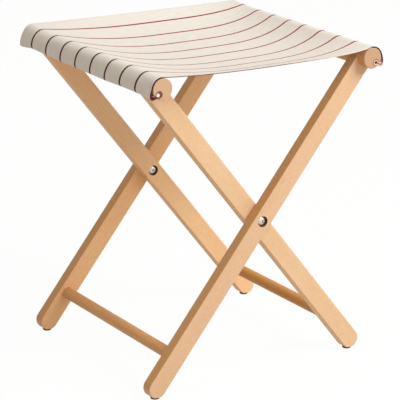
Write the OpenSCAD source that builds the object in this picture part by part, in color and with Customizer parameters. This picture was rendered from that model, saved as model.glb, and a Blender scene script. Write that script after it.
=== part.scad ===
// Folding stool: two beech frames crossed like scissors, with a canvas seat slung between
// two round rails. Z = 0 is the floor, X = 0 the pivots' plane and Y runs along the rails.
// The inner frame carries the rail at -X, the outer frame the rail at +X.

/* [Frames] */
// Lean of every leg from the vertical, with the canvas drawn taut, in degrees
lean = 38.5; // [34:0.5:43]
// Pivot to the centre of the top rail, along the leg
arm_top = 257; // [235:1:290]
// Pivot to the centre of the half-round foot, along the leg
arm_foot = 256; // [235:1:290]
// Pivot down to the centre of the stretcher, along the leg
arm_stretcher = 209; // [160:1:220]
// Width over the legs of the inner frame
inner_w = 275; // [240:1:330]

/* [Legs] */
// Width of a leg, seen from the side of the stool
leg_w = 26; // [24:0.5:27]
// Thickness of a leg, along the rails
leg_t = 16.5; // [15:0.5:20]
// Radius of the eased long edges
leg_ease = 1.5; // [0.5:0.25:2.5]

/* [Rails and stretchers] */
// Diameter of the two top rails
rail_d = 28; // [28:0.5:32]
// Length of the two top rails
rail_len = 340; // [330:1:400]
// Chamfer round the ends of a rail
rail_chamfer = 0.8; // [0.3:0.1:1.5]
// Diameter of the two stretchers
stretcher_d = 16; // [14:0.5:18]
// Diameter of the tenon on each end of a stretcher
tenon_d = 11; // [9:0.5:12]
// Depth of the blind mortise that takes the tenon
mortise_depth = 10; // [6:0.5:12]
// Diameter of the dowel that holds a leg to its rail
dowel_d = 6; // [5:0.5:6]
// Depth of the dowel in the end of the leg
dowel_in_leg = 20; // [12:1:30]
// Depth of the dowel in the rail, from the rail's surface
dowel_in_rail = 9.5; // [8:0.5:12]

/* [Canvas groove] */
// Diameter of the bore that holds the hem rod
groove_d = 10; // [9:0.25:10.5]
// Rail's centre to the centre of that bore
groove_at = 8.4; // [8:0.1:9]
// Place of the bore round the rail, from the leg's direction towards the outside, in degrees
groove_angle = 78; // [70:1:86]
// Width of the slot that lets the canvas out of the bore
slot_w = 4.8; // [4.4:0.1:5.2]
// Direction of the slot, from the leg's direction towards the outside, in degrees
slot_angle = 102.5; // [95:0.5:115]
// Diameter of the rod inside the hem
rod_d = 5; // [4:0.25:5.5]
// How much shorter a hem rod is than its rail
rod_short = 10; // [2:0.5:20]
// How far it stops short of the end of the rail that it has been pushed to
rod_setback = 1; // [0.5:0.5:5]

/* [Canvas] */
// Thickness of the canvas
cloth_t = 0.9; // [0.6:0.1:1.1]
// How far each selvedge stops short of the ends of the rails
selvedge_inset = 1; // [0.5:0.5:10]
// Depth of the sag in the middle of the seat
sag_middle = 24.5; // [8:0.5:34]
// Depth of the sag along the front selvedge
sag_front = 6; // [2:1:12]
// Depth of the sag along the back selvedge
sag_back = 1; // [1:1:12]
// How much fuller than a straight V the sag is on the inner frame's side, 2 for an even arch
fullness_inner = 2.3; // [2:0.1:4]
// The same on the outer frame's side
fullness_outer = 3.6; // [2:0.1:4]
// Height, in degrees above the rail's middle, from which the canvas hangs clear of the rail
hang_from = 22; // [10:1:40]
// How far the fold at the slot hangs outside the wrap
hang_out = 1.8; // [1:0.1:2.5]
// Radius of that fold
fold_r = 1.3; // [0.8:0.1:1.5]
// Space between the two layers of the hem in the slot
hem_gap = 2.1; // [1:0.1:2.3]
// Space between the hem rod and its loop of canvas
loop_slack = 0.8; // [0.4:0.1:1]
// Length of the hem's tail outside the slot
tail_out = 5; // [1:0.5:6]

/* [Pivots] */
// Diameter of the barrel that the legs turn on
barrel_d = 8; // [7:0.5:10]
// Diameter of the bolt inside the barrel
bolt_d = 6; // [5:0.5:6]
// Diameter of the domed heads
head_d = 11.5; // [11:0.5:13]
// Height of the domed heads
head_h = 2.6; // [2:0.1:3]
// Diameter of the counterbore round a head
counterbore_d = 14.5; // [13:0.5:16]
// Depth of the counterbore
counterbore_depth = 3.5; // [2.5:0.25:4]
// Width across the flats of the hexagon socket in a head
socket_af = 4; // [3:0.5:4]
// Depth of that socket
socket_depth = 2.8; // [1:0.1:3]
// Outer diameter of the spacer washer between the legs
washer_d = 16; // [14:0.5:20]
// Thickness of the spacer washer
washer_t = 1.6; // [1:0.1:2.5]

/* [Feet] */
// Diameter of a glide
glide_d = 12; // [11:0.5:14.5]
// How far a glide stands below the wood
glide_proud = 2; // [1:0.25:3]
// Depth of the flat in the foot that the glide sits on
glide_seat = 1.2; // [0.8:0.1:1.6]
// Diameter of the glide's nail
nail_d = 2.4; // [2:0.2:3]
// Length of the glide's nail in the wood
nail_len = 13; // [8:1:18]

/* [Clearances] */
// Radial clearance of a pin that turns or slides in its bore
running = 0.05; // [0.02:0.01:0.1]
// Radial clearance of a glued or driven joint
glued = 0.05; // [0.02:0.01:0.1]
// Side play on each face of the spacer washer and under the nut's head
play = 0.1; // [0.05:0.05:0.3]
// Space between the canvas and the wood under it
cloth_gap = 0.3; // [0.2:0.05:0.5]

/* [Hidden] */
$fn = 96;

BEECH = "#E3B98E";
BEECH_ROD = "#D9AC80";
CLOTH = "#EDE7DC";
STEEL = "#C9CCCE";
GLIDE = "#3B3632";
WHITE = "#F2F2EE";

// Heights of the pivots and of the rails' centres above the floor
pivot_z = glide_proud + leg_w / 2 + arm_foot * cos(lean);
rail_r = rail_d / 2;
canvas_w = rail_len - 2 * selvedge_inset;
rail_x = arm_top * sin(lean);
rail_z = pivot_z + arm_top * cos(lean);
foot_x = arm_foot * sin(lean);

// Layers along Y, as distances from the middle: the outer face of each leg and the faces
// that the stretchers run between
leg_gap = washer_t + 2 * play;
inner_face = inner_w / 2;
inner_inside = inner_face - leg_t;
outer_inside = inner_face + leg_gap;
outer_face = outer_inside + leg_t;

// The bolt's head and the nut's head bear on the floors of their counterbores
bolt_seat = outer_face - counterbore_depth;
nut_seat = inner_inside + counterbore_depth;
// The barrel stops short of the bolt's head, so that tightening clamps the outer leg only
barrel_end = bolt_seat - 1.5;
shank_len = barrel_end - nut_seat - 4;

// Radii of the canvas where it lies on a rail
wrap_in = rail_r + cloth_gap;
wrap_out = wrap_in + cloth_t;
wrap_mid = wrap_in + cloth_t / 2;

// Groove in the frame's own axes: x points outwards and z up the leg, from the rail's centre
groove_x = groove_at * sin(groove_angle);
groove_z = -groove_at * cos(groove_angle);
slot_turn = slot_angle - 90;
// Distance along the slot from the bore's centre to the rail's surface
groove_along = groove_at * cos(slot_angle - groove_angle);
slot_reach = sqrt(rail_r * rail_r - groove_at * groove_at + groove_along * groove_along) - groove_along;
// The taut canvas pulls its loop, and the rod in the loop, along the slot from the bore's centre
loop_in = rod_d / 2 + loop_slack;
loop_mid = loop_in + cloth_t / 2;
loop_pull = groove_d / 2 - loop_in - cloth_t - cloth_gap;
rod_pull = loop_pull + loop_slack - cloth_gap;

// Puts what is drawn along a leg, with the pivot at the origin, into its place: the outer
// frame leans to +X, and the inner frame is its mirror image
module lean_out() {
    translate([0, 0, pivot_z]) rotate([0, lean, 0]) children();
}

module lean_in() {
    mirror([1, 0, 0]) lean_out() children();
}

// A cylinder along Y, centred on the origin
module rod_y(d, len) {
    rotate([90, 0, 0]) cylinder(d = d, h = len, center = true);
}

// Cross-section of a leg with its eased edges, width along x and thickness along y
module leg_section() {
    square([leg_w - 2 * leg_ease, leg_t], center = true);
    square([leg_w, leg_t - 2 * leg_ease], center = true);
    for (sx = [-1, 1], sy = [-1, 1])
        translate([sx * (leg_w / 2 - leg_ease), sy * (leg_t / 2 - leg_ease)]) circle(r = leg_ease);
}

// Bar along the leg, with a half-round foot that keeps the eased edges
module leg_bar() {
    translate([0, 0, -arm_foot]) linear_extrude(arm_foot + arm_top) leg_section();
    translate([0, 0, -arm_foot]) rotate([-90, 0, 0]) rotate_extrude(angle = 180)
        intersection() {
            leg_section();
            translate([0, -leg_t]) square([leg_w, 2 * leg_t]);
        }
}

// A finished leg in the leg's own axes, centred on y = 0: inward is the side, -1 or 1 along
// Y, that its stretcher meets, and sunk the side with the counterbore
module leg(inward, sunk) {
    difference() {
        leg_bar();
        // cope round the rail
        translate([0, 0, arm_top]) rod_y(rail_d + 2 * glued, 2 * leg_t);
        // bore for the dowel
        translate([0, 0, arm_top - rail_r - dowel_in_leg])
            cylinder(d = dowel_d + 2 * glued, h = dowel_in_leg + rail_r);
        // bore for the pivot's barrel
        rod_y(barrel_d + 2 * running, 2 * leg_t);
        // counterbore for the head
        translate([0, sunk * (leg_t - counterbore_depth), 0]) rod_y(counterbore_d, leg_t);
        // blind mortise for the stretcher
        translate([0, inward * (leg_t - mortise_depth), -arm_stretcher])
            rod_y(tenon_d + 2 * glued, leg_t);
    }
}

// Flat and nail hole for the glide, under the foot at x
module glide_cut(x, y) {
    translate([x - leg_w, y - leg_t, -leg_w]) cube([2 * leg_w, 2 * leg_t, leg_w + glide_proud + glide_seat]);
    translate([x, y, 0]) cylinder(d = nail_d + 2 * glued, h = glide_proud + glide_seat + nail_len + 0.5);
}

module inner_leg(side) {
    y = side * (inner_face - leg_t / 2);
    color(BEECH) difference() {
        lean_in() translate([0, y, 0]) leg(-side, -side);
        glide_cut(foot_x, y);
    }
}

module outer_leg(side) {
    y = side * (outer_face - leg_t / 2);
    color(BEECH) difference() {
        lean_out() translate([0, y, 0]) leg(-side, side);
        glide_cut(-foot_x, y);
    }
}

// Glide with a chamfered sole and a nail, under the foot at x
module glide(x, y) {
    chamfer = 0.6;
    color(GLIDE) translate([x, y, 0]) {
        cylinder(d1 = glide_d - 2 * chamfer, d2 = glide_d, h = chamfer);
        translate([0, 0, chamfer]) cylinder(d = glide_d, h = glide_proud + glide_seat - chamfer);
        cylinder(d = nail_d, h = glide_proud + glide_seat + nail_len);
    }
}

// Round rail with chamfered ends, bored for the two dowels and grooved for the canvas;
// leg_y is the middle of the legs that it stands on
module top_rail(leg_y) {
    color(BEECH_ROD) translate([0, 0, arm_top]) difference() {
        rotate([90, 0, 0]) rotate_extrude() polygon([
            [0, -rail_len / 2], [rail_r - rail_chamfer, -rail_len / 2],
            [rail_r, -rail_len / 2 + rail_chamfer], [rail_r, rail_len / 2 - rail_chamfer],
            [rail_r - rail_chamfer, rail_len / 2], [0, rail_len / 2]
        ]);
        translate([groove_x, 0, groove_z]) {
            rod_y(groove_d, 2 * rail_len);
            rotate([0, -slot_turn, 0]) translate([0, -rail_len, -slot_w / 2])
                cube([rail_r, 2 * rail_len, slot_w]);
        }
        for (side = [-1, 1]) translate([0, side * leg_y, -rail_r - 1])
            cylinder(d = dowel_d + 2 * glued, h = dowel_in_rail + 1);
    }
}

// Dowel between the end of a leg and its rail
module dowel(y) {
    short = 0.5;
    color(BEECH_ROD) translate([0, y, arm_top - rail_r - dowel_in_leg + short])
        cylinder(d = dowel_d, h = dowel_in_leg + dowel_in_rail - 2 * short);
}

// Round stretcher between legs whose inner faces lie at +inside and -inside, with a tenon
// on each end
module stretcher(inside) {
    short = 0.5;
    color(BEECH_ROD) translate([0, 0, -arm_stretcher]) {
        rod_y(stretcher_d, 2 * inside);
        rod_y(tenon_d, 2 * (inside + mortise_depth - short));
    }
}

// Rod in the hem, pushed towards the front, -1, or the back, 1
module hem_rod(pushed) {
    color(WHITE) translate([groove_x, pushed * (rod_short / 2 - rod_setback), arm_top + groove_z])
        rotate([0, -slot_turn, 0]) translate([rod_pull, 0, 0]) rod_y(rod_d, rail_len - rod_short);
}

// Point at the distance r in the direction a
function polar(r, a) = r * [cos(a), sin(a)];

// Points on an arc round c, from the angle a to the angle b
function arc(c, r, a, b, steps) = [for (i = [0:steps]) c + polar(r, a + (b - a) * i / steps)];

// Points inside a curve from p to q that sets off along u and arrives along v
function curve(p, u, q, v, steps) = let (reach = 0.75 * norm(q - p)) [for (i = [1:steps - 1])
    let (t = i / steps, s = 1 - t)
    s * s * (1 + 2 * t) * p + s * s * t * reach * u + t * t * (3 - 2 * t) * q - t * t * s * reach * v];

// Outline of cloth whose middle runs along a path, square to the path's first edge
function strip(path) =
    let (last = len(path) - 1,
        ways = [for (i = [0:last - 1]) (path[i + 1] - path[i]) / norm(path[i + 1] - path[i])],
        sides = [for (i = [0:last]) i == 0 ? [0, 1] : let (
            a = ways[i - 1], b = ways[min(i, last - 1)], sum = [-a[1] - b[1], a[0] + b[0]])
            sum * 2 / (sum * sum)])
    concat([for (i = [0:last]) path[i] + sides[i] * cloth_t / 2],
        [for (i = [last:-1:0]) path[i] - sides[i] * cloth_t / 2]);

// Middle line of the canvas on a rail, outwards and up from the rail's centre with the stool
// open: from the crest down the outside, clear of the rail to the fold, back through the
// slot, round the rod, and out again to the tail
function hem_path() =
    let (slope = slot_turn - lean, along = polar(1, slope), up = polar(1, slope + 90),
        loop = polar(groove_at, groove_angle - 90 - lean) + loop_pull * along,
        layer = (cloth_t + hem_gap) / 2,
        fold_up = loop + (layer + fold_r) * up,
        fold = fold_up + (wrap_mid + hang_out - fold_r - fold_up[0]) / along[0] * along,
        neck = 45,
        close = loop_mid * cos(neck) + (loop_mid * sin(neck) - layer) * tan(neck),
        tail = slot_reach - loop_pull + tail_out)
    concat(arc([0, 0], wrap_mid, 90, hang_from, 12),
        curve(polar(wrap_mid, hang_from), polar(1, hang_from - 90), fold + [fold_r, 0], [0, -1], 5),
        arc(fold, fold_r, 0, slope - 90, 5),
        [loop + layer * up + close * along],
        arc(loop, loop_mid, slope + neck, slope + 360 - neck, 16),
        [loop - layer * up + close * along, loop - layer * up + tail * along]);

module canvas_hem() {
    color(CLOTH) translate([0, 0, arm_top]) rotate([90, 0, 0])
        linear_extrude(canvas_w, center = true) rotate(lean) polygon(strip(hem_path()));
}

// Sag of the seat at the share v of its width, 0 in front and 1 at the back: the selvedges
// stay nearly straight and a broad middle hangs lowest
function sag(v) = let (ends = sag_front + (sag_back - sag_front) * v, off = abs(2 * v - 1))
    ends + (sag_middle - (sag_front + sag_back) / 2) * (1 - off * off * off);

// Angle, from the crest inwards, at which canvas of that sag and fullness leaves the rail
function leave_angle(depth, fullness) =
    let (a = atan(fullness * depth / rail_x))
    atan(fullness * (depth - wrap_mid * (1 - cos(a))) / (rail_x - wrap_mid * sin(a)));

// Point of the seat's underside or top in X and Z. r is the radius at the rail, and u runs
// from -1 at one crest to 1 at the other: the cloth follows the rail over the outer share of
// u, and hangs between
on_rail = 0.16;
function seat_point(r, depth, u) =
    let (s = u < 0 ? -1 : 1, t = abs(u), fullness = u < 0 ? fullness_inner : fullness_outer,
        a = leave_angle(depth, fullness), x_off = rail_x - r * sin(a), z_off = rail_z + r * cos(a))
    t > 1 - on_rail
        ? let (b = a * (1 - t) / on_rail) [s * (rail_x - r * sin(b)), rail_z + r * cos(b)]
        : let (x = t / (1 - on_rail), low = rail_z + r - depth)
            [s * x * x_off, low + (z_off - low) * pow(x, fullness)];

// The seat as one closed skin: a grid of the underside, a grid of the top, and the four edges
module canvas_seat() {
    nu = 25;
    nv = 18;
    row = nu + 1;
    count = row * (nv + 1);
    function grid(r) = [for (j = [0:nv], i = [0:nu])
        let (p = seat_point(r, sag(j / nv), -1 + 2 * i / nu))
        [p[0], canvas_w * (j / nv - 0.5), p[1]]];
    function id(i, j, top) = i + j * row + (top ? count : 0);
    function quad(a, b, c, d) = [[a, b, c], [a, c, d]];
    skins = [for (j = [0:nv - 1], i = [0:nu - 1], f = concat(
        quad(id(i, j, false), id(i + 1, j, false), id(i + 1, j + 1, false), id(i, j + 1, false)),
        quad(id(i, j, true), id(i, j + 1, true), id(i + 1, j + 1, true), id(i + 1, j, true)))) f];
    selvedges = [for (i = [0:nu - 1], f = concat(
        quad(id(i, 0, false), id(i, 0, true), id(i + 1, 0, true), id(i + 1, 0, false)),
        quad(id(i, nv, false), id(i + 1, nv, false), id(i + 1, nv, true), id(i, nv, true)))) f];
    crests = [for (j = [0:nv - 1], f = concat(
        quad(id(0, j, false), id(0, j + 1, false), id(0, j + 1, true), id(0, j, true)),
        quad(id(nu, j, false), id(nu, j, true), id(nu, j + 1, true), id(nu, j + 1, false)))) f];
    color(CLOTH) polyhedron(points = concat(grid(wrap_in), grid(wrap_out)),
        faces = concat(skins, selvedges, crests), convexity = 4);
}

// Domed head with a hexagon socket, its seat at z = 0 and its crown up
module domed_head() {
    rim = 0.7;
    // radius of the sphere that passes through the rim and the crown
    dome_h = head_h - rim;
    dome_r = (head_d * head_d / 4 + dome_h * dome_h) / (2 * dome_h);
    difference() {
        intersection() {
            cylinder(d = head_d, h = head_h);
            translate([0, 0, head_h - dome_r]) sphere(r = dome_r);
        }
        translate([0, 0, head_h - socket_depth])
            cylinder(d = socket_af / cos(30), h = socket_depth + 1, $fn = 6);
    }
}

// Turns what is drawn along Z so that it points away from the middle of the stool, at the
// distance y on that side
module face_out(side, y) {
    translate([0, side * y, pivot_z]) rotate([-side * 90, 0, 0]) children();
}

// Bolt: its head bears on the outer leg and its shank screws into the barrel
module pivot_bolt(side) {
    color(STEEL) {
        face_out(side, bolt_seat) domed_head();
        face_out(side, bolt_seat) translate([0, 0, -shank_len]) cylinder(d = bolt_d, h = shank_len);
    }
}

// Sleeve nut: its head faces the middle of the stool and its barrel is the pivot pin
module pivot_nut(side) {
    seat = nut_seat - play;
    color(STEEL) difference() {
        union() {
            translate([0, side * seat, pivot_z]) rotate([side * 90, 0, 0]) domed_head();
            face_out(side, seat) cylinder(d = barrel_d, h = barrel_end - seat);
        }
        face_out(side, bolt_seat - shank_len - 1) cylinder(d = bolt_d + 2 * glued, h = shank_len + 1);
    }
}

// Spacer washer in the gap between the two legs
module pivot_washer(side) {
    color(STEEL) face_out(side, inner_face + play) difference() {
        cylinder(d = washer_d, h = washer_t);
        translate([0, 0, -1]) cylinder(d = barrel_d + 2 * running, h = washer_t + 2);
    }
}

// Middles of the legs along Y
inner_leg_y = inner_face - leg_t / 2;
outer_leg_y = outer_face - leg_t / 2;

inner_leg(-1);  // inner_leg_front
inner_leg(1);  // inner_leg_back
lean_in() top_rail(inner_leg_y);  // inner_top_rail
lean_in() stretcher(inner_inside);  // inner_stretcher
lean_in() dowel(-inner_leg_y);  // inner_dowel_front
lean_in() dowel(inner_leg_y);  // inner_dowel_back
glide(foot_x, -inner_leg_y);  // inner_glide_front
glide(foot_x, inner_leg_y);  // inner_glide_back
lean_in() hem_rod(-1);  // inner_hem_rod
lean_in() canvas_hem();  // inner_canvas_hem
outer_leg(-1);  // outer_leg_front
outer_leg(1);  // outer_leg_back
lean_out() top_rail(outer_leg_y);  // outer_top_rail
lean_out() stretcher(outer_inside);  // outer_stretcher
lean_out() dowel(-outer_leg_y);  // outer_dowel_front
lean_out() dowel(outer_leg_y);  // outer_dowel_back
glide(-foot_x, -outer_leg_y);  // outer_glide_front
glide(-foot_x, outer_leg_y);  // outer_glide_back
lean_out() hem_rod(1);  // outer_hem_rod
lean_out() canvas_hem();  // outer_canvas_hem
pivot_bolt(-1);  // pivot_bolt_front
pivot_bolt(1);  // pivot_bolt_back
pivot_nut(-1);  // pivot_nut_front
pivot_nut(1);  // pivot_nut_back
pivot_washer(-1);  // pivot_washer_front
pivot_washer(1);  // pivot_washer_back
canvas_seat();
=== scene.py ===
"""Looks of a folding stool: two crossed beech frames with a striped canvas seat."""

import math

import bmesh
import bpy
from mathutils import Matrix, Vector


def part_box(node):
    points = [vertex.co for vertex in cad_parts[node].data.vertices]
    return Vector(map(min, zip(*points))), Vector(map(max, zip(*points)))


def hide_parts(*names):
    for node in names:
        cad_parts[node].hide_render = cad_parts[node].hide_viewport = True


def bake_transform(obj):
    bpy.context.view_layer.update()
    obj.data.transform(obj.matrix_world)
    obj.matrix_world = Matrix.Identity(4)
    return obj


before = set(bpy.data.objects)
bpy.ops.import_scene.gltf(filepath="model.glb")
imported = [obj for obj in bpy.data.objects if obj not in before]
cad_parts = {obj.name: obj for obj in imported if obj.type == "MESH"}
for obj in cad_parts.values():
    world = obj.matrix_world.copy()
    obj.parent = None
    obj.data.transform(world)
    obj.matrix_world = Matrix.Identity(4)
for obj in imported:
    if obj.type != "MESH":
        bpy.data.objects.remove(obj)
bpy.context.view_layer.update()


# Camera. The photograph looks down on the stool's front left corner from nearly three
# metres, through a long lens, so the frames keep almost parallel edges.
mm = 0.001
aim = Vector((1.34 * mm, 0, 203.62 * mm))
camera_distance = 2860.5 * mm
camera_turn = math.radians(32.171)
camera_drop = math.radians(17.191)
camera_roll = math.radians(0.221)

camera_data = bpy.data.cameras.new("camera")
camera_data.sensor_width = 36
camera_data.lens = 189.07
camera = bpy.data.objects.new("camera", camera_data)
camera.matrix_world = (
    Matrix.Translation(aim)
    @ Matrix.Rotation(-camera_turn, 4, "Z")
    @ Matrix.Rotation(math.pi / 2 - camera_drop, 4, "X")
    @ Matrix.Rotation(camera_roll, 4, "Z")
    @ Matrix.Translation((0, 0, camera_distance))
)
bpy.context.scene.collection.objects.link(camera)
bpy.context.scene.camera = camera
bpy.context.scene.view_settings.view_transform = "Standard"


# Studio. A pale sweep with one large softbox high on the front right, so that the top and
# the front of the stool are bright and its left sides fall into a warm half shade.
ambient_level = 0.49
ambient_tint = (1.11, 1.0, 0.83, 1)
key_power = 76
key_size = 1.8
key_place = Vector((1.16, -1.86, 2.36))
key_target = Vector((0, 0, 0.25))
floor_size = 14
# how far the floor turns to plain white where it is seen; the rest keeps the shadow
floor_whiteness = 0.96


def linear(hex_colour):
    """The linear RGBA of an sRGB colour written as a hex string."""
    parts = [int(hex_colour[i:i + 2], 16) / 255 for i in (1, 3, 5)]
    return [c / 12.92 if c <= 0.04045 else ((c + 0.055) / 1.055) ** 2.4 for c in parts] + [1]


def add_node(tree, kind, settings=(), sockets=()):
    """Adds a node, sets its properties, and gives each named socket a value or a link. A
    node given as a value is linked from its first output."""
    node = tree.nodes.new(kind)
    for name, value in dict(settings).items():
        setattr(node, name, value)
    for name, value in dict(sockets).items():
        if isinstance(value, bpy.types.Node):
            value = value.outputs[0]
        if isinstance(value, bpy.types.NodeSocket):
            tree.links.new(value, node.inputs[name])
        else:
            node.inputs[name].default_value = value
    return node


def seen_directly(tree):
    """1 for rays from the camera and for reflections of them, and 0 for light that scatters."""
    path = add_node(tree, "ShaderNodeLightPath")
    mirrored = add_node(tree, "ShaderNodeMath", {"operation": "ADD"},
                        {0: path.outputs["Is Glossy Ray"], 1: path.outputs["Is Transmission Ray"]})
    return add_node(tree, "ShaderNodeMath", {"operation": "ADD", "use_clamp": True},
                    {0: path.outputs["Is Camera Ray"], 1: mirrored})


world = bpy.data.worlds.new("studio")
world.use_nodes = True
tree = world.node_tree
tree.nodes.clear()
direct = seen_directly(tree)
level = add_node(tree, "ShaderNodeMapRange", {}, {
    "Value": direct, "To Min": ambient_level, "To Max": 1})
tint = add_node(tree, "ShaderNodeMix", {"data_type": "RGBA"}, {
    0: direct, 6: ambient_tint, 7: linear("#FFFFFF")})
surround = add_node(tree, "ShaderNodeBackground", {}, {"Color": tint.outputs[2], "Strength": level})
add_node(tree, "ShaderNodeOutputWorld", {}, {"Surface": surround})
bpy.context.scene.world = world

key_data = bpy.data.lights.new("softbox", "AREA")
key_data.shape = "SQUARE"
key_data.size = key_size
key_data.energy = key_power
key = bpy.data.objects.new("softbox", key_data)
key.location = key_place
key.rotation_euler = (key_target - key_place).to_track_quat("-Z", "Y").to_euler()
bpy.context.scene.collection.objects.link(key)

sweep = bpy.data.materials.new("white_paper_sweep")
sweep.use_nodes = True
tree = sweep.node_tree
tree.nodes.clear()
# grey for the light that it throws back up, and white where it is seen
direct = seen_directly(tree)
tone = add_node(tree, "ShaderNodeMix", {"data_type": "RGBA"}, {
    0: direct, 6: linear("#CFCFCF"), 7: linear("#FAFAFA")})
paper = add_node(tree, "ShaderNodeBsdfDiffuse", {}, {"Color": tone.outputs[2]})
glow = add_node(tree, "ShaderNodeEmission", {}, {"Color": linear("#FFFFFF"), "Strength": 1.0})
whitened = add_node(tree, "ShaderNodeMath", {"operation": "MULTIPLY"}, {
    0: direct, 1: floor_whiteness})
lit = add_node(tree, "ShaderNodeMixShader", {}, {0: whitened, 1: paper, 2: glow})
add_node(tree, "ShaderNodeOutputMaterial", {}, {"Surface": lit})
floor_mesh = bpy.data.meshes.new("floor")
shape = bmesh.new()
bmesh.ops.create_grid(shape, x_segments=1, y_segments=1, size=floor_size / 2)
shape.to_mesh(floor_mesh)
shape.free()
floor_mesh.materials.append(sweep)
floor = bpy.data.objects.new("floor", floor_mesh)
bpy.context.scene.collection.objects.link(floor)


# Legs. Four flat bars of steamed beech, planed, with eased long edges and half-round feet,
# under a thin matt lacquer. The grain runs along each bar, and every bar is its own cut.
lean = math.radians(38.5)
pivot_height = 215.35 * mm
counterbore_radius = 7.3 * mm
ring_spacing = 3.2 * mm
ring_stretch = 30
fibre_size = (0.9 * mm, 0.9 * mm, 28 * mm)
mottle_size = (3.2 * mm, 3.2 * mm, 6 * mm)
fleck_size = (0.9 * mm, 0.9 * mm, 3.5 * mm)
cloud_size = (22 * mm, 22 * mm, 70 * mm)
# where the tree's middle lay, from the middle of a bar
bar_pith = Vector((70 * mm, 45 * mm, 10 * mm))


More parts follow.
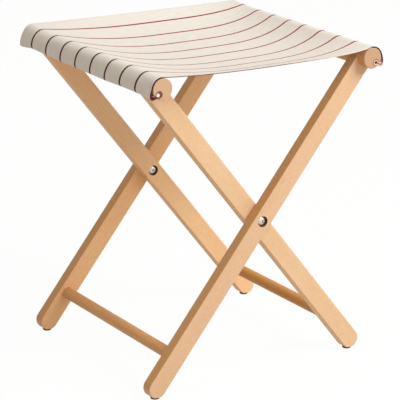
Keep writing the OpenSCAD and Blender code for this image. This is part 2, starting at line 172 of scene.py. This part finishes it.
def beech(name, turn, pith, grain, faces, shaded_edges, cut):
    """Lacquered beech. turn points the grain along the piece, pith is where the tree's middle lay,
    and grain is the direction of the grain in the stool's axes. faces and shaded_edges are the
    light and the dark tone of the faces and of the narrow sides, whose own tone is painted shade
    wherever it differs from the faces', cut the end grain's."""
    material = bpy.data.materials.new(name)
    material.use_nodes = True
    tree = material.node_tree
    tree.nodes.clear()
    coords = add_node(tree, "ShaderNodeTexCoord")
    own = add_node(tree, "ShaderNodeMapping", {"vector_type": "TEXTURE"},
                   {"Vector": coords.outputs["Object"], "Location": pith, "Rotation": turn})
    # growth rings: a wave has 20 / 2 pi of them to a unit
    ring_unit = ring_spacing * 20 / (2 * math.pi)
    ring_place = add_node(tree, "ShaderNodeMapping", {"vector_type": "TEXTURE"}, {
        "Vector": own, "Scale": (ring_unit, ring_unit, ring_stretch * ring_unit)})
    rings = add_node(tree, "ShaderNodeTexWave", {"wave_type": "RINGS", "rings_direction": "Z"}, {
        "Vector": ring_place, "Scale": 1, "Distortion": 6, "Detail": 2, "Detail Scale": 0.6})
    # fibres along the grain, a finer mottle from the rays, and a slow drift of tone
    patterns = []
    for size, detail in ((fibre_size, 3), (mottle_size, 3), (cloud_size, 2), (fleck_size, 1)):
        place = add_node(tree, "ShaderNodeMapping", {"vector_type": "TEXTURE"}, {
            "Vector": own, "Scale": size})
        patterns.append(add_node(tree, "ShaderNodeTexNoise", {}, {
            "Vector": place, "Scale": 1, "Detail": detail}))
    fibre, mottle, cloud, ray = patterns
    tone = add_node(tree, "ShaderNodeMath", {"operation": "MULTIPLY"}, {0: rings, 1: 0.15})
    for pattern, share in ((fibre, 0.25), (mottle, 0.30), (cloud, 0.30)):
        spread = add_node(tree, "ShaderNodeMapRange", {}, {
            "Value": pattern, "From Min": 0.3, "From Max": 0.7})
        tone = add_node(tree, "ShaderNodeMath", {"operation": "MULTIPLY_ADD"}, {
            0: spread, 1: share, 2: tone})
    face, shaded_edge = (add_node(tree, "ShaderNodeMix", {"data_type": "RGBA"}, {
        0: tone, 6: linear(light), 7: linear(dark)})
        for light, dark in (faces, shaded_edges))
    # the narrow sides of the bars take their own tone: painted shade, more saturated than the faces
    # and on the outer frame darker, for the half shade on the legs' sides
    sideways = add_node(tree, "ShaderNodeVectorMath", {"operation": "DOT_PRODUCT"},
                        {0: coords.outputs["Normal"], 1: (grain.z, 0, -grain.x)})
    on_shaded_edge = add_node(tree, "ShaderNodeMath", {"operation": "ABSOLUTE"}, {
        0: sideways.outputs["Value"]})
    on_shaded_edge = add_node(tree, "ShaderNodeMapRange", {}, {
        "Value": on_shaded_edge, "From Min": 0.6, "From Max": 0.85})
    wood = add_node(tree, "ShaderNodeMix", {"data_type": "RGBA"}, {
        0: on_shaded_edge, 6: face.outputs[2], 7: shaded_edge.outputs[2]})
    # ray flecks, a little darker and redder
    flecks = add_node(tree, "ShaderNodeMapRange", {}, {
        "Value": ray, "From Min": 0.60, "From Max": 0.74, "To Max": 0.30})
    wood = add_node(tree, "ShaderNodeMix", {"data_type": "RGBA"}, {
        0: flecks, 6: wood.outputs[2], 7: linear("#B07848")})
    # end grain, where the surface faces along the grain, drinks the lacquer and is duller
    facing = add_node(tree, "ShaderNodeVectorMath", {"operation": "DOT_PRODUCT"},
                      {0: coords.outputs["Normal"], 1: grain})
    along_grain = add_node(tree, "ShaderNodeMath", {"operation": "ABSOLUTE"}, {
        0: facing.outputs["Value"]})
    ends = add_node(tree, "ShaderNodeMapRange", {}, {
        "Value": along_grain, "From Min": 0.5, "From Max": 0.65, "To Max": 0.8})
    wood = add_node(tree, "ShaderNodeMix", {"data_type": "RGBA"}, {
        0: ends, 6: wood.outputs[2], 7: linear(cut)})
    # painted shade: within the counterbores' radius round the pivots the wood is painted dark
    # brown, for the shadowed gap round the bolt heads
    bore = add_node(tree, "ShaderNodeVectorMath", {"operation": "MULTIPLY_ADD"}, {
        0: coords.outputs["Object"], 1: (1, 0, 1), 2: (0, 0, -pivot_height)})
    from_pivot = add_node(tree, "ShaderNodeVectorMath", {"operation": "LENGTH"}, {0: bore})
    painted_bore_shade = add_node(tree, "ShaderNodeMath", {"operation": "LESS_THAN"}, {
        0: from_pivot.outputs["Value"], 1: counterbore_radius})
    wood = add_node(tree, "ShaderNodeMix", {"data_type": "RGBA"}, {
        0: painted_bore_shade, 6: wood.outputs[2], 7: linear("#6E4628")})
    roughness = add_node(tree, "ShaderNodeMapRange", {}, {
        "Value": fibre, "To Min": 0.42, "To Max": 0.58})
    pores = add_node(tree, "ShaderNodeMath", {"operation": "SUBTRACT"}, {0: fibre, 1: flecks})
    relief = add_node(tree, "ShaderNodeBump", {}, {
        "Strength": 0.15, "Distance": 0.1 * mm, "Height": pores})
    surface = add_node(tree, "ShaderNodeBsdfPrincipled", {}, {
        "Base Color": wood.outputs[2], "Roughness": roughness, "Specular IOR Level": 0.35,
        "Normal": relief})
    add_node(tree, "ShaderNodeOutputMaterial", {}, {"Surface": surface})
    return material


def dress(node, material):
    """Gives a CAD node its finish."""
    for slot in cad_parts[node].material_slots:
        slot.material = material


# each frame's lean, the tones of its narrow sides, and of its front and its back leg's faces. The
# narrow sides' tones are painted shade, more saturated than the faces and on the outer frame
# darker. The back legs' faces are painted lighter and more orange than the front ones: painted
# light, against the seat's shadow on them
leg_tones = (
    ("inner", -lean, ("#F4C48E", "#EABB88"), ("#F0CCA7", "#E4BB8E"), ("#FFD5A6", "#F4C390")),
    ("outer", lean, ("#D2A06A", "#C59461"), ("#EBC5A1", "#DEB28A"), ("#FFCF9C", "#F2BC87")))
for side, tilt, shaded_edges, front, back in leg_tones:
    grain = Vector((math.sin(tilt), 0, math.cos(tilt)))
    for end, beside, faces in (("front", 1, front), ("back", -1, back)):
        middle = sum(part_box(f"{side}_leg_{end}"), Vector()) / 2
        pith = middle + Vector((beside * bar_pith.x, bar_pith.y, beside * bar_pith.z))
        bar = beech(f"beech_planed_{side}_{end}", (0, tilt, 0), pith, grain,
                    faces, shaded_edges, "#D3AB88")
        dress(f"{side}_leg_{end}", bar)


# Top rails and stretchers. Turned beech rod: round rails with a keyhole groove for the
# canvas, glued and dowelled on the ends of the legs, and thinner rods tenoned lower down.
rod_pith = Vector((6 * mm, 0, -9 * mm))
along = Vector((0, 1, 0))
# the inner stretcher is painted darker and more orange than the other rods: painted shade, for the
# shadow it lies in
rod_tones = (("inner", "top_rail", ("#E1AA70", "#D09558"), "#D1B195"),
             ("inner", "stretcher", ("#D79952", "#C5853F"), "#D3AB88"),
             ("outer", "top_rail", ("#E1AA70", "#D09558"), "#C8A284"),
             ("outer", "stretcher", ("#E1AA70", "#D09558"), "#D3AB88"))
for side, rod, tones, cut in rod_tones:
    middle = sum(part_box(f"{side}_{rod}"), Vector()) / 2
    turned = beech(f"beech_turned_{side}_{rod}", (-math.pi / 2, 0, 0), middle + rod_pith, along,
                   tones, tones, cut)
    dress(f"{side}_{rod}", turned)
    if rod == "stretcher":
        for end in ("front", "back"):
            dress(f"{side}_dowel_{end}", turned)


# Pivots. Domed zinc-plated bolts in sleeve nuts, with a plain washer between the legs; the
# plating is bright, faintly straw-coloured, with a soft grey bloom.
zinc = bpy.data.materials.new("zinc_plated_steel")
zinc.use_nodes = True
tree = zinc.node_tree
tree.nodes.clear()
coords = add_node(tree, "ShaderNodeTexCoord")
place = add_node(tree, "ShaderNodeMapping", {"vector_type": "TEXTURE"}, {
    "Vector": coords.outputs["Object"], "Scale": (1.5 * mm, 1.5 * mm, 1.5 * mm)})
bloom = add_node(tree, "ShaderNodeTexNoise", {}, {"Vector": place, "Scale": 1, "Detail": 4})
dullness = add_node(tree, "ShaderNodeMapRange", {}, {"Value": bloom, "To Min": 0.3, "To Max": 0.5})
plating = add_node(tree, "ShaderNodeMix", {"data_type": "RGBA"}, {
    0: bloom, 6: linear("#E4DED2"), 7: linear("#CFC9BB")})
surface = add_node(tree, "ShaderNodeBsdfPrincipled", {}, {
    "Base Color": plating.outputs[2], "Metallic": 1.0, "Roughness": dullness})
add_node(tree, "ShaderNodeOutputMaterial", {}, {"Surface": surface})
for end in ("front", "back"):
    for part in ("bolt", "nut", "washer"):
        dress(f"pivot_{part}_{end}", zinc)


# Glides. Dark nylon discs, moulded with a fine matt grain and nailed under the feet.
nylon = bpy.data.materials.new("moulded_nylon")
nylon.use_nodes = True
tree = nylon.node_tree
tree.nodes.clear()
coords = add_node(tree, "ShaderNodeTexCoord")
place = add_node(tree, "ShaderNodeMapping", {"vector_type": "TEXTURE"}, {
    "Vector": coords.outputs["Object"], "Scale": (0.5 * mm, 0.5 * mm, 0.5 * mm)})
grit = add_node(tree, "ShaderNodeTexNoise", {}, {"Vector": place, "Scale": 1, "Detail": 2})
shade = add_node(tree, "ShaderNodeMix", {"data_type": "RGBA"}, {
    0: grit, 6: linear("#3A312A"), 7: linear("#4C4138")})
relief = add_node(tree, "ShaderNodeBump", {}, {
    "Strength": 0.3, "Distance": 0.05 * mm, "Height": grit})
surface = add_node(tree, "ShaderNodeBsdfPrincipled", {}, {
    "Base Color": shade.outputs[2], "Roughness": 0.55, "Normal": relief})
add_node(tree, "ShaderNodeOutputMaterial", {}, {"Surface": surface})
for side in ("inner", "outer"):
    for end in ("front", "back"):
        dress(f"{side}_glide_{end}", nylon)


# Hem rods. Extruded white plastic rod inside the canvas hems, with faint draw lines.
plastic = bpy.data.materials.new("extruded_white_plastic")
plastic.use_nodes = True
tree = plastic.node_tree
tree.nodes.clear()
coords = add_node(tree, "ShaderNodeTexCoord")
place = add_node(tree, "ShaderNodeMapping", {"vector_type": "TEXTURE"}, {
    "Vector": coords.outputs["Object"], "Scale": (0.4 * mm, 40 * mm, 0.4 * mm)})
drawn = add_node(tree, "ShaderNodeTexNoise", {}, {"Vector": place, "Scale": 1, "Detail": 2})
shade = add_node(tree, "ShaderNodeMix", {"data_type": "RGBA"}, {
    0: drawn, 6: linear("#F4F3F0"), 7: linear("#E7E5E0")})
surface = add_node(tree, "ShaderNodeBsdfPrincipled", {}, {
    "Base Color": shade.outputs[2], "Roughness": 0.4})
add_node(tree, "ShaderNodeOutputMaterial", {}, {"Surface": surface})
for side in ("inner", "outer"):
    dress(f"{side}_hem_rod", plastic)


# Seat. One strip of undyed cotton canvas with woven-in red lines: it lies over both rails,
# drops down their outer sides, folds into the grooves and is hemmed round the plastic rods.
cloth = 0.9 * mm
off_wood = 0.3 * mm
rail_low, rail_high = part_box("outer_top_rail")
rod_low, rod_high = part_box("outer_hem_rod")
rail = Vector(((rail_low.x + rail_high.x) / 2, (rail_low.z + rail_high.z) / 2))
rail_radius = (rail_high.x - rail_low.x) / 2
rod = Vector(((rod_low.x + rod_high.x) / 2, (rod_low.z + rod_high.z) / 2))
wrap_radius = rail_radius + off_wood + cloth / 2
# the hem: the groove's slope, how far the canvas pulls the rod outwards, the radius of the
# loop round it, and how much smaller the right loop is at the front, where no rod fills it
slot_slope = math.radians(-26)
loop_pull = 0.5 * mm
loop_radius = 3.85 * mm
closed_up = 0.75 * mm
# from the slot's middle to each layer of canvas in it, the angle at which the layers leave
# the loop, and the cut end, which bends up from the slot's mouth on
layer = 1.5 * mm
neck_angle = math.radians(32)
slot_mouth = 5.8 * mm
tail_reach = 8.2 * mm
tail_lift = 1.4 * mm
# thickness of the sewn hem, and of the roll along the front edge
hem_thickness = 1.7 * mm
front_thickness = 2.1 * mm
# how the canvas hangs on each rail, in mm and degrees: the place in y, the angle above the
# rail's middle at which it leaves the wood, its fold's radius, and how far out the fold is
hung_left = ((-170, 12, 3.4, 17.2), (-150, 40, 5.2, 17.6), (-132, 52, 5.8, 17.8),
             (-94, 48, 5.6, 17.8), (-55, 34, 4.4, 17.4), (-16, 24, 4.0, 16.8),
             (23, 28, 4.2, 16.7), (63, 32, 4.4, 16.9), (103, 38, 5.0, 16.8),
             (142, 42, 5.6, 16.6), (171, 24, 3.2, 17.2))
hung_right = ((-170, 30, 3.0, 16.5), (-120, 30, 4.0, 16.8), (171, 30, 4.0, 16.8))
# sag under the line between the rails at the front edge, the middle and the back edge, how
# flat it stays towards each edge, and how full the curve is on the left and the right half
sag_front = 6 * mm
sag_middle = 23.3 * mm
sag_back = -1.2 * mm
front_power = 2.2
back_power = 3
fullness_left = 2.3
fullness_right = 4.4
# the canvas is slack towards its back end and stands off the rails' crests there: how high
# each rise is, and from which share of the width on
rises_left = ((1.2 * mm, 0.80), (1.8 * mm, 0.92))
rises_right = ((1.6 * mm, 0.85),)
# the cut is a little out of square: its back edge runs askew by that slope, up to a limit,
# and swings back over a stretch beside the left rail
front_edge = -169.6 * mm
back_edge = 171.5 * mm
back_skew = -3 / 162
skew_limit = 1 * mm
swing = 3.5 * mm
swing_start = 150 * mm
swing_length = 40 * mm
# steps in which each stretch of the section is drawn, from the seat's middle to the cut end
seat_steps = 34
crest_steps = 8
side_steps = 13
drop_steps = 11
fold_steps = 10
neck_steps = 7
loop_steps = 24
tail_steps = 7
# steps over which the sewn hem and the front roll thicken
hem_fade = 4
roll_fade = 6
rows = 72


def arc(centre, radius, start, end, steps):
    """Points on an arc, angles in radians from +x towards +z, both ends included."""
    turns = [start + (end - start) * i / steps for i in range(steps + 1)]
    return [centre + radius * Vector((math.cos(a), math.sin(a))) for a in turns]


def curve(start, leaving, end, arriving, steps):
    """Points inside a smooth curve that leaves start one way and reaches end another."""
    bulge = 1.05
    reach = bulge * (end - start).length
    shares = [i / steps for i in range(1, steps)]
    return [(1 - s) ** 2 * ((1 + 2 * s) * start + s * reach * leaving)
            + s ** 2 * ((3 - 2 * s) * end - (1 - s) * reach * arriving) for s in shares]


def smooth(share):
    """Rises smoothly from 0 to 1 while share goes from 0 to 1."""
    share = min(max(share, 0), 1)
    return share * share * (3 - 2 * share)


def sag(share):
    """Sag at that share of the width, from the front: flat in the middle, steep at the edges."""
    ends = sag_front + (sag_back - sag_front) * share
    power = front_power if share < 0.5 else back_power
    return ends + (sag_middle - (sag_front + sag_back) / 2) * (1 - abs(2 * share - 1) ** power)


def stand_off(rises, share):
    """How far the canvas stands off a rail's crest, at that share of its width."""
    return sum(height * smooth((share - start) / (1 - start)) for height, start in rises)


def flat_place(share):
    """The place across the cloth, in y, at that share of its width."""
    return front_edge + (back_edge - front_edge) * share


def hang(table, share):
    """Where the canvas leaves the rail, its fold's radius and reach, from a table by place."""
    place = flat_place(share) / mm
    pairs = [pair for pair in zip(table, table[1:]) if place <= pair[1][0]] or [table[-2:]]
    near, far = pairs[0]
    part = smooth((place - near[0]) / (far[0] - near[0]))
    leaves, size, reach = (a + (b - a) * part for a, b in zip(near[1:], far[1:]))
    return math.radians(leaves), size * mm, reach * mm


def half_section(depth, fullness, lift, hung, loop_size):
    """The cloth's middle line in x and z, from the seat's middle to the end of the right
    hem. lift is how far it stands off the rail's crest, hung how it hangs beside the rail,
    and loop_size the radius of the hem's loop."""
    leaves, fold_size, fold_reach = hung
    radius = wrap_radius + lift
    depth = depth + lift
    slope = math.atan(fullness * depth / rail.x)
    leave = math.atan(fullness * (depth - radius * (1 - math.cos(slope)))
                      / (rail.x - radius * math.sin(slope)))
    off = rail + radius * Vector((-math.sin(leave), math.cos(leave)))
    low = rail.y + radius - depth
    points = [Vector((x, low + (off.y - low) * (x / off.x) ** fullness))
              for x in [off.x * i / seat_steps for i in range(seat_steps)]]
    points += arc(rail, radius, math.pi / 2 + leave, math.pi / 2, crest_steps)[:-1]
    for i in range(side_steps + 1):
        turn = math.pi / 2 + (leaves - math.pi / 2) * i / side_steps
        off_side = radius - lift * smooth(i / side_steps)
        points.append(rail + off_side * Vector((math.cos(turn), math.sin(turn))))
    # the slot's direction out of the rail, and its upward normal
    out = Vector((math.cos(slot_slope), math.sin(slot_slope)))
    up = Vector((-out.y, out.x))
    loop = rod - loop_pull * out
    fold_base = loop + up * (fold_size - layer)
    fold_along = (rail.x + fold_reach - fold_size - fold_base.x) / out.x
    fold = fold_base + fold_along * out
    hanging = Vector((math.sin(leaves), -math.cos(leaves)))
    points += curve(points[-1], hanging, fold + Vector((fold_size, 0)), Vector((0, -1)), drop_steps)
    points += arc(fold, fold_size, 0, slot_slope - math.pi / 2, fold_steps)
    # in along the slot's lower side, round the rod, and out again along its upper side
    close = loop_size * math.cos(neck_angle) + (
        loop_size * math.sin(neck_angle) - layer) * math.tan(neck_angle)
    for i in range(1, neck_steps + 1):
        along = fold_along + (close - fold_along) * i / neck_steps
        points.append(loop - layer * up + along * out)
    points += arc(loop, loop_size, slot_slope - neck_angle,
                  slot_slope - 2 * math.pi + neck_angle, loop_steps)
    for i in range(tail_steps + 1):
        along = close + (tail_reach - close) * i / tail_steps
        lifted = tail_lift * smooth((along - slot_mouth) / (tail_reach - slot_mouth))
        points.append(loop + (layer + lifted) * up + along * out)
    return points


any_section = half_section(sag_middle, fullness_left, 0, hang(hung_left, 0), loop_radius)
half_columns = len(any_section) - 1
# columns, counted from the seat's middle: those of the loop round the rod, the one where the
# fold meets the slot, and the one where the front roll starts, just short of the rail
loop_end = half_columns - tail_steps - 1
loop_columns = range(loop_end - loop_steps, loop_end + 1)
slot_column = loop_end - loop_steps - 1 - neck_steps
roll_column = seat_steps + 2
hem_share = (hem_thickness - cloth) / (front_thickness - cloth)
shape = bmesh.new()
bmesh.ops.create_grid(shape, x_segments=2 * half_columns, y_segments=rows, size=1)
flat_map = shape.loops.layers.uv.new("cloth")
hem = shape.verts.layers.deform.verify()
along_cloth = {}
by_row = {}
for point in shape.verts:
    column = round((point.co.x + 1) * half_columns) - half_columns
    row = round((point.co.y + 1) / 2 * rows)
    by_row.setdefault(row, {})[column] = point
for row, points in by_row.items():
    share = row / rows
    right_loop = loop_radius - closed_up if row == 0 else loop_radius
    sections = {
        -1: half_section(sag(share), fullness_left, stand_off(rises_left, share),
                         hang(hung_left, share), loop_radius),
        1: half_section(sag(share), fullness_right, stand_off(rises_right, share),
                        hang(hung_right, share), right_loop)}
    for side, section in sections.items():
        reach = [0]
        for i in range(half_columns):
            reach.append(reach[-1] + (section[i + 1] - section[i]).length)
        for column in range(half_columns + 1):
            point = points[side * column]
            flat_x = side * reach[column]
            skewed = min(back_skew * flat_x, skew_limit)
            skewed += swing * smooth((-flat_x - swing_start) / swing_length)
            flat_y = flat_place(share) + skewed * share
            point.co = (side * section[column].x, flat_y, section[column].y)
            along_cloth[point] = flat_x
            # the hem is sewn double, but lies single round the left rod; at the front the
            # right hem is thicker still
            double = smooth((column - slot_column) / hem_fade) * hem_share
            if side < 0 and column in loop_columns:
                double = 0
            if side > 0 and row == 0:
                double = double / hem_share
            # the front edge has a narrow rolled hem where it goes over the rails
            if row == 0:
                double = max(double, hem_share * smooth((column - roll_column) / roll_fade))
            point[hem][0] = double
flat_length = 2 * max(along_cloth.values())
for face in shape.faces:
    face.smooth = True
    for corner in face.loops:
        corner[flat_map].uv = (along_cloth[corner.vert], corner.vert.co.y)
bmesh.ops.recalc_face_normals(shape, faces=shape.faces)
seat_mesh = bpy.data.meshes.new("canvas")
shape.to_mesh(seat_mesh)
shape.free()
seat = bpy.data.objects.new("canvas", seat_mesh)
bpy.context.scene.collection.objects.link(seat)
thicken = seat.modifiers.new("thickness", "SOLIDIFY")
seat.vertex_groups.new(name="hem")
thicken.vertex_group = "hem"
thicken.thickness = front_thickness
thicken.thickness_vertex_group = cloth / front_thickness
thicken.offset = 0
thicken.use_even_offset = True
soften = seat.modifiers.new("soft_edges", "BEVEL")
soften.width = 0.2 * mm
soften.segments = 2
soften.limit_method = "ANGLE"
soften.angle_limit = math.radians(60)

# natural cotton, plain weave, with woven-in dark red lines; each line's place is where it
# crosses the left rail and the right rail, because the weave runs a little askew; rail_reach
# is how far along the cloth the rails are from the seat's middle
stripes = ((-132.9, -131.4), (-94.4, -93.1), (-55.6, -55.4), (-16.4, -14.0),
           (23.1, 22.1), (62.6, 60.6), (102.7, 98.8), (143.0, 139.8))
stripe_half = 1.95 * mm
rail_reach = 166 * mm
# the lines are painted paler on the seat, about that middle, and thinner by that much at each edge:
# painted sheen, for the lit top seen at a grazing angle; on the rails' sides they are painted
# near-black brown: painted shade
sheen_middle = 12 * mm
sheen_reach = 138 * mm
shade_reach = 168 * mm
sheen_thinning = 0.35 * mm
# half the width of the coloured band on the front edge, which is dye, and on the rails painted
# shade, and how much deeper it is inside the hems
rim_half = 1.0 * mm
hem_start = 197 * mm
hem_inside = 200 * mm
deeper_in_hems = 8 * mm
# how far the lines' edges wander, and how soft they are
wander = 0.6 * mm
fuzz = 0.2 * mm
ragged_size = (3 * mm, 0.8 * mm, 1)
slub_size = (14 * mm, 1.2 * mm, 1)
blotch_size = (60 * mm, 40 * mm, 1)
# threads are about 0.6 mm apart on such canvas; drawn at 1.2 mm, so that the weave shows
thread = 1.2 * mm

canvas = bpy.data.materials.new("cotton_canvas")
canvas.use_nodes = True
tree = canvas.node_tree
tree.nodes.clear()
flat = add_node(tree, "ShaderNodeUVMap", {"uv_map": "cloth"})
split = add_node(tree, "ShaderNodeSeparateXYZ", {}, {0: flat})
patterns = []
for size, detail in ((ragged_size, 1), (slub_size, 3), (blotch_size, 2)):
    place = add_node(tree, "ShaderNodeMapping", {"vector_type": "TEXTURE"}, {
        "Vector": flat, "Scale": size})
    patterns.append(add_node(tree, "ShaderNodeTexNoise", {}, {
        "Vector": place, "Scale": 1, "Detail": detail}))
ragged, slubs, blotches = patterns
woven = add_node(tree, "ShaderNodeMath", {"operation": "MULTIPLY_ADD"}, {
    0: ragged, 1: wander, 2: split.outputs[1]})
# 1 on the rails' sides, where the lines take painted shade, and 0 on the seat's top, where they
# take painted sheen
on_shaded_side = add_node(tree, "ShaderNodeMath", {"operation": "SUBTRACT"}, {
    0: split.outputs[0], 1: sheen_middle})
on_shaded_side = add_node(tree, "ShaderNodeMath", {"operation": "ABSOLUTE"}, {0: on_shaded_side})
on_shaded_side = add_node(tree, "ShaderNodeMapRange", {}, {
    "Value": on_shaded_side, "From Min": sheen_reach, "From Max": shade_reach})
thinner = add_node(tree, "ShaderNodeMapRange", {}, {
    "Value": on_shaded_side, "From Min": 1, "From Max": 0, "To Max": sheen_thinning})
red = None
for left, right in stripes:
    middle = (left + right) / 2 * mm + wander / 2
    askew = (right - left) / 2 * mm / rail_reach
    line = add_node(tree, "ShaderNodeMath", {"operation": "MULTIPLY_ADD"}, {
        0: split.outputs[0], 1: -askew, 2: woven})
    away = add_node(tree, "ShaderNodeMath", {"operation": "SUBTRACT"}, {0: line, 1: middle})
    away = add_node(tree, "ShaderNodeMath", {"operation": "ABSOLUTE"}, {0: away})
    away = add_node(tree, "ShaderNodeMath", {"operation": "ADD"}, {0: away, 1: thinner})
    line = add_node(tree, "ShaderNodeMapRange", {}, {
        "Value": away, "From Min": stripe_half + fuzz, "From Max": stripe_half - fuzz})
    if red:
        line = add_node(tree, "ShaderNodeMath", {"operation": "MAXIMUM"}, {0: red, 1: line})
    red = line
# the front edge is coloured along the cloth: greyish mauve on the left of the seat, hardly any on
# its right, maroon in the left hem, pinker towards the cut end, raw cotton in the right hem, and
# dark brown on the rails, which is painted shade for the shadowed gap between the canvas edge and
# the rails' ends; each place along the cloth in mm has its colour and how much there is of it
edge_dye_and_shade = ((-232, "#A8606C", 1), (-225, "#A8606C", 1), (-222, "#8E5A50", 1), (-206, "#8E5A50", 1),
        (-203, "#6E2A2E", 1), (-192, "#6E2A2E", 1), (-189, "#45180E", 1), (-165, "#45180E", 1),
        (-152, "#7A4A48", 1), (20, "#7A4A48", 1), (130, "#7A4A48", 0), (150, "#45180E", 0),
        (160, "#45180E", 1), (190, "#45180E", 1), (193, "#DDBAA4", 1), (232, "#DDBAA4", 1))
in_hem = add_node(tree, "ShaderNodeMath", {"operation": "ABSOLUTE"}, {0: split.outputs[0]})
in_hem = add_node(tree, "ShaderNodeMapRange", {}, {
    "Value": in_hem, "From Min": hem_start, "From Max": hem_inside})
from_edge = add_node(tree, "ShaderNodeMath", {"operation": "MULTIPLY_ADD"}, {
    0: in_hem, 1: -deeper_in_hems, 2: woven})
rim = add_node(tree, "ShaderNodeMapRange", {}, {
    "Value": from_edge, "From Min": front_edge + rim_half + wander / 2 + fuzz,
    "From Max": front_edge + rim_half + wander / 2 - fuzz})
edge_colour_place = add_node(tree, "ShaderNodeMapRange", {}, {
    "Value": split.outputs[0], "From Min": -flat_length / 2, "From Max": flat_length / 2})
edge_dye_and_shade_ramp = add_node(tree, "ShaderNodeValToRGB", {}, {0: edge_colour_place})
for place, colour, share in edge_dye_and_shade:
    stop = edge_dye_and_shade_ramp.color_ramp.elements.new(place * mm / flat_length + 0.5)
    stop.color = linear(colour)[:3] + [share]
rim = add_node(tree, "ShaderNodeMath", {"operation": "MULTIPLY"}, {
    0: rim, 1: edge_dye_and_shade_ramp.outputs["Alpha"]})

threads = []
for axis in (0, 1):
    turns = add_node(tree, "ShaderNodeMath", {"operation": "MULTIPLY"}, {
        0: split.outputs[axis], 1: math.pi / thread})
    wave = add_node(tree, "ShaderNodeMath", {"operation": "SINE"}, {0: turns})
    threads.append(add_node(tree, "ShaderNodeMath", {"operation": "ABSOLUTE"}, {0: wave}))
weave = add_node(tree, "ShaderNodeMath", {"operation": "MULTIPLY"}, {0: threads[0], 1: threads[1]})
slubby = add_node(tree, "ShaderNodeMapRange", {}, {
    "Value": slubs, "From Min": 0.35, "From Max": 0.65})
cotton = add_node(tree, "ShaderNodeMix", {"data_type": "RGBA"}, {
    0: slubby, 6: linear("#F0EDEB"), 7: linear("#DED9D4")})
blotchy = add_node(tree, "ShaderNodeMapRange", {}, {
    "Value": blotches, "From Min": 0.4, "From Max": 0.7})
cotton = add_node(tree, "ShaderNodeMix", {"data_type": "RGBA"}, {
    0: blotchy, 6: cotton.outputs[2], 7: linear("#E7E3DE")})
# the gaps between the threads are painted darker: painted shade in the weave's hollows
shaded_gaps = add_node(tree, "ShaderNodeMapRange", {}, {
    "Value": weave, "From Min": 0.25, "From Max": 0.0, "To Max": 0.25})
cotton = add_node(tree, "ShaderNodeMix", {"data_type": "RGBA"}, {
    0: shaded_gaps, 6: cotton.outputs[2], 7: linear("#CFC5B4")})
# the lines' red: paler as painted sheen on the seat's top, near-black brown as painted shade on the
# rails' sides
red_with_sheen, red_in_shade = (add_node(tree, "ShaderNodeMix", {"data_type": "RGBA"}, {
    0: slubs, 6: linear(light), 7: linear(dark)})
    for light, dark in (("#A0242B", "#881B20"), ("#5A1A14", "#421210")))
dyed = add_node(tree, "ShaderNodeMix", {"data_type": "RGBA"}, {
    0: on_shaded_side, 6: red_with_sheen.outputs[2], 7: red_in_shade.outputs[2]})
cotton = add_node(tree, "ShaderNodeMix", {"data_type": "RGBA"}, {
    0: red, 6: cotton.outputs[2], 7: dyed.outputs[2]})
# the front edge's band: dye, and painted shade on the rails
cotton = add_node(tree, "ShaderNodeMix", {"data_type": "RGBA"}, {
    0: rim, 6: cotton.outputs[2], 7: edge_dye_and_shade_ramp.outputs["Color"]})
height = add_node(tree, "ShaderNodeMath", {"operation": "MULTIPLY_ADD"}, {
    0: slubs, 1: 0.6, 2: weave})
relief = add_node(tree, "ShaderNodeBump", {}, {
    "Strength": 0.35, "Distance": 0.15 * mm, "Height": height})
surface = add_node(tree, "ShaderNodeBsdfPrincipled", {}, {
    "Base Color": cotton.outputs[2], "Roughness": 0.9, "Specular IOR Level": 0.2,
    "Sheen Weight": 0.1, "Normal": relief})
add_node(tree, "ShaderNodeOutputMaterial", {}, {"Surface": surface})
seat_mesh.materials.append(canvas)

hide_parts("canvas_seat", "inner_canvas_hem", "outer_canvas_hem")
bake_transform(seat)
